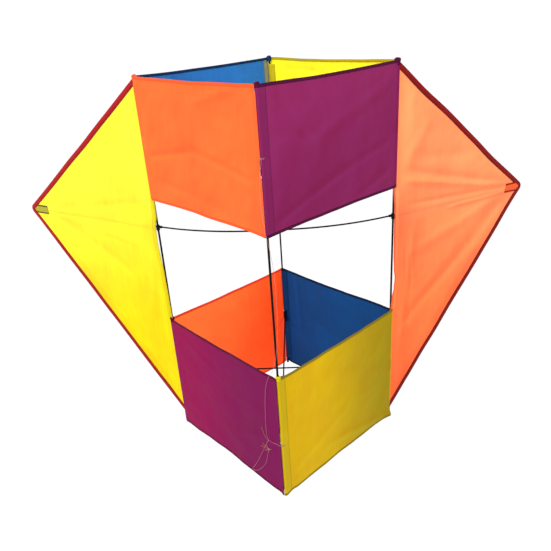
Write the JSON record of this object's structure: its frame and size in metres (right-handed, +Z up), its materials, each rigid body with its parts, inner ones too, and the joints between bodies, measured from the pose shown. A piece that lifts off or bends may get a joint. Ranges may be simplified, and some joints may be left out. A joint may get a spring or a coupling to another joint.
{
  "type": "box kite",
  "caption": "Winged box kite: two square cloth cells on four rods, spread by crossed rods, with two swept cloth wings, a bowed wing spreader and a thin bridle.",
  "frame": {"origin": "on the ground at the middle of the square cells, under the kite standing on its four end caps", "axes": "+Z up along the longerons, +X towards the right wing, -Y towards the front longeron and the bridle; the wings lean back towards +Y"},
  "size_m": [1.389, 0.6135, 1],
  "materials": {
    "black_rod": "drawn glass-fibre rod, black, faintly glossy, straight fibre grain",
    "black_vinyl": "soft black vinyl tube, satin",
    "ferrule": "black-anodised thin aluminium tube",
    "black_rubber": "black rubber, matt",
    "red_binding": "folded polyester tape, dark red, fine cross rib, stitched",
    "white_line": "braided polyester line, off-white",
    "yellow_line": "knotted polyester line, yellow",
    "orange_cloth": "thin taffeta, bright orange, slightly translucent, fine plain weave",
    "red_orange_cloth": "thin taffeta, red-orange, slightly translucent, fine plain weave",
    "yellow_cloth": "thin taffeta, bright yellow, slightly translucent, fine plain weave",
    "purple_cloth": "thin taffeta, red-purple, fine plain weave",
    "blue_cloth": "thin taffeta, blue, fine plain weave"
  },
  "bodies": {
    "left_side": {"left_longeron": "black_rod", "left_end_caps": "black_rubber", "left_wing_cloth": "yellow_cloth", "left_wing_binding": "red_binding", "left_tip_pocket": "yellow_cloth", "left_wing_fitting": "black_vinyl", "left_wing_spreader": "black_rod", "centre_ferrule": "ferrule", "lower_left_fitting": "black_vinyl", "upper_left_fitting": "black_vinyl", "lower_width_spreader": "black_rod", "upper_width_spreader": "black_rod"},
    "front_left_side": {"lower_front_left_panel": "purple_cloth", "upper_front_left_panel": "orange_cloth", "front_longeron": "black_rod", "front_end_caps": "black_rubber", "bridle_line": "white_line", "upper_bridle_tie": "white_line", "lower_bridle_tie": "white_line", "bridle_knot": "white_line", "tow_loop": "white_line", "tow_knot": "yellow_line"},
    "front_right_side": {"lower_front_right_panel": "yellow_cloth", "upper_front_right_panel": "purple_cloth"},
    "back_left_side": {"lower_back_left_panel": "red_orange_cloth", "upper_back_left_panel": "blue_cloth", "back_longeron": "black_rod", "back_end_caps": "black_rubber"},
    "back_right_side": {"lower_back_right_panel": "blue_cloth", "upper_back_right_panel": "yellow_cloth"},
    "right_side": {"right_longeron": "black_rod", "right_end_caps": "black_rubber", "right_wing_cloth": "orange_cloth", "right_wing_binding": "red_binding", "right_tip_pocket": "orange_cloth", "right_wing_fitting": "black_vinyl", "right_wing_spreader": "black_rod", "lower_right_fitting": "black_vinyl", "upper_right_fitting": "black_vinyl"},
    "front_fittings": {"lower_front_fitting": "black_vinyl", "upper_front_fitting": "black_vinyl"},
    "back_fittings": {"lower_back_fitting": "black_vinyl", "upper_back_fitting": "black_vinyl"},
    "lower_depth_rod": {"lower_depth_spreader": "black_rod"},
    "upper_depth_rod": {"upper_depth_spreader": "black_rod"}
  },
  "joints": [
    {"name": "box_fold", "type": "hinge", "parent": "left_side", "child": "front_left_side", "pos_m": [-0.3, 0, 0.5], "axis": [0, 0, 1], "range_deg": [0, 42], "deforming": ["lower_depth_spreader", "upper_depth_spreader"]},
    {"name": "back_left_fold", "type": "hinge", "parent": "left_side", "child": "back_left_side", "pos_m": [-0.3, 0, 0.5], "axis": [0, 0, -1], "range_deg": [0, 42]},
    {"name": "front_right_fold", "type": "hinge", "parent": "front_left_side", "child": "front_right_side", "pos_m": [0, -0.3, 0.5], "axis": [0, 0, -1], "range_deg": [0, 84]},
    {"name": "back_right_fold", "type": "hinge", "parent": "back_left_side", "child": "back_right_side", "pos_m": [0, 0.3, 0.5], "axis": [0, 0, 1], "range_deg": [0, 84]},
    {"name": "right_corner_turn", "type": "hinge", "parent": "front_right_side", "child": "right_side", "pos_m": [0.3, 0, 0.5], "axis": [0, 0, 1], "range_deg": [0, 42]},
    {"name": "front_fitting_turn", "type": "hinge", "parent": "front_left_side", "child": "front_fittings", "pos_m": [0, -0.3, 0.514], "axis": [0, 0, -1], "range_deg": [0, 42]},
    {"name": "back_fitting_turn", "type": "hinge", "parent": "back_left_side", "child": "back_fittings", "pos_m": [0, 0.3, 0.514], "axis": [0, 0, 1], "range_deg": [0, 42]},
    {"name": "lower_depth_rod_swing", "type": "hinge", "parent": "front_fittings", "child": "lower_depth_rod", "pos_m": [0, -0.292, 0.186], "axis": [1, 0, 0], "range_deg": [0, 88]},
    {"name": "upper_depth_rod_swing", "type": "hinge", "parent": "back_fittings", "child": "upper_depth_rod", "pos_m": [0, 0.292, 0.842], "axis": [1, 0, 0], "range_deg": [0, 88]}
  ],
  "couplings": [
    {"joint": "back_left_fold", "follows": "box_fold", "ratio": 1},
    {"joint": "front_right_fold", "follows": "box_fold", "ratio": 2},
    {"joint": "back_right_fold", "follows": "box_fold", "ratio": 2},
    {"joint": "right_corner_turn", "follows": "box_fold", "ratio": 1},
    {"joint": "front_fitting_turn", "follows": "box_fold", "ratio": 1},
    {"joint": "back_fitting_turn", "follows": "box_fold", "ratio": 1},
    {"joint": "lower_depth_rod_swing", "follows": "box_fold", "ratio": 2.0952},
    {"joint": "upper_depth_rod_swing", "follows": "box_fold", "ratio": 2.0952}
  ]
}
